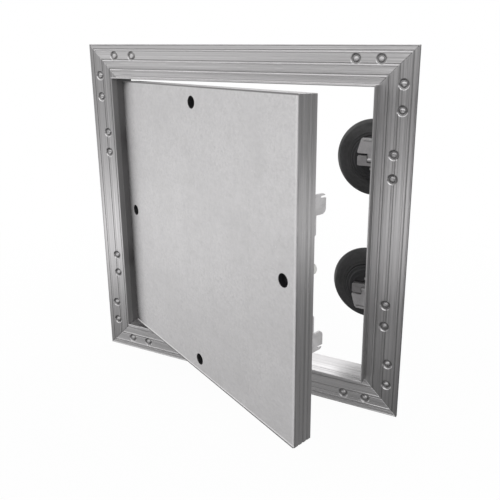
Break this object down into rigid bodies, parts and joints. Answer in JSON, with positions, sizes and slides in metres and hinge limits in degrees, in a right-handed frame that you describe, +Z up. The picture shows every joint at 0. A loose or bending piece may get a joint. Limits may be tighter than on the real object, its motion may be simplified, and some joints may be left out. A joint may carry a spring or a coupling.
{
  "type": "drywall access panel",
  "caption": "Square wall access panel: ribbed aluminium frame with a raised lip, inset tray door on curved concealed hinge arms, push latches and parked suction cup pulls.",
  "frame": {"origin": "centre of the clear opening, in the front plane of the wall flange", "axes": "+X across the opening towards the latch side, +Y into the wall, +Z up"},
  "size_m": [0.5, 0.2549, 0.5],
  "materials": {
    "aluminium_profile": "mill extruded",
    "zinc_steel": "zinc plated",
    "galvanised_sheet": "galvanised, fine spangle",
    "cast_key": "die cast",
    "pale_plastic": "moulded",
    "black_plastic": "moulded, fine grain",
    "black_rubber": "moulded",
    "screw_steel": "bright zinc"
  },
  "bodies": {
    "frame": {"frame_top_rail": "aluminium_profile", "frame_bottom_rail": "aluminium_profile", "frame_latch_stile": "aluminium_profile", "frame_hinge_stile": "aluminium_profile", "corner_bracket_tr": "zinc_steel", "corner_bracket_br": "zinc_steel", "corner_bracket_bl": "zinc_steel", "corner_bracket_tl": "zinc_steel", "hinge_bracket_upper": "zinc_steel", "hinge_bracket_lower": "zinc_steel", "hinge_guide_upper": "pale_plastic", "hinge_guide_lower": "pale_plastic", "guide_screws": "screw_steel", "latch_carrier_upper": "zinc_steel", "latch_carrier_lower": "zinc_steel", "latch_housing_upper": "black_plastic", "latch_housing_lower": "black_plastic", "cup_cap_upper": "black_plastic", "cup_cap_lower": "black_plastic", "cup_rubber_upper": "black_rubber", "cup_rubber_lower": "black_rubber", "latch_spring_upper": "screw_steel", "latch_spring_lower": "screw_steel"},
    "door": {"door_plate": "galvanised_sheet", "door_channel_top": "aluminium_profile", "door_channel_bottom": "aluminium_profile", "door_channel_free": "aluminium_profile", "door_channel_hinge": "aluminium_profile", "corner_key_tr": "cast_key", "corner_key_br": "cast_key", "corner_key_bl": "cast_key", "corner_key_tl": "cast_key", "door_stiffener": "galvanised_sheet", "edge_buffer": "pale_plastic", "hinge_arm_upper": "zinc_steel", "hinge_arm_lower": "zinc_steel", "striker_upper": "zinc_steel", "striker_lower": "zinc_steel", "door_screws": "screw_steel", "hole_cap_top": "black_plastic", "hole_cap_bottom": "black_plastic", "hole_cap_free": "black_plastic", "hole_cap_hinge": "black_plastic"},
    "latch_plunger_upper": {"latch_plunger_upper": "pale_plastic"},
    "cup_stem_upper": {"cup_stem_upper": "zinc_steel", "cup_pin_upper": "screw_steel"},
    "cup_lever_upper": {"cup_lever_upper": "zinc_steel"},
    "latch_plunger_lower": {"latch_plunger_lower": "pale_plastic"},
    "cup_stem_lower": {"cup_stem_lower": "zinc_steel", "cup_pin_lower": "screw_steel"},
    "cup_lever_lower": {"cup_lever_lower": "zinc_steel"}
  },
  "joints": [
    {"name": "door_swing", "type": "hinge", "parent": "frame", "child": "door", "pos_m": [-0.1985, -0.012, 0], "axis": [0, 0, -1], "range_deg": [-25, 41]},
    {"name": "latch_push_upper", "type": "slide", "parent": "frame", "child": "latch_plunger_upper", "axis": [0, 1, 0], "range_m": [0, 0.004], "stiffness_N_per_m": 300, "deforming": ["latch_spring_upper"]},
    {"name": "cup_stem_slide_upper", "type": "slide", "parent": "frame", "child": "cup_stem_upper", "axis": [0, 1, 0], "range_m": [0, 0.0018]},
    {"name": "cup_lever_swing_upper", "type": "hinge", "parent": "cup_stem_upper", "child": "cup_lever_upper", "pos_m": [0.18, 0.0623, 0.097], "axis": [1, 0, 0], "range_deg": [0, 65]},
    {"name": "latch_push_lower", "type": "slide", "parent": "frame", "child": "latch_plunger_lower", "axis": [0, 1, 0], "range_m": [0, 0.004], "stiffness_N_per_m": 300, "deforming": ["latch_spring_lower"]},
    {"name": "cup_stem_slide_lower", "type": "slide", "parent": "frame", "child": "cup_stem_lower", "axis": [0, 1, 0], "range_m": [0, 0.0018]},
    {"name": "cup_lever_swing_lower", "type": "hinge", "parent": "cup_stem_lower", "child": "cup_lever_lower", "pos_m": [0.18, 0.0623, -0.097], "axis": [-1, 0, 0], "range_deg": [0, 65]}
  ],
  "couplings": [
    {"joint": "cup_stem_slide_upper", "follows": "cup_lever_swing_upper", "m_per_rad": 0.00158},
    {"joint": "cup_stem_slide_lower", "follows": "cup_lever_swing_lower", "m_per_rad": 0.00158}
  ]
}
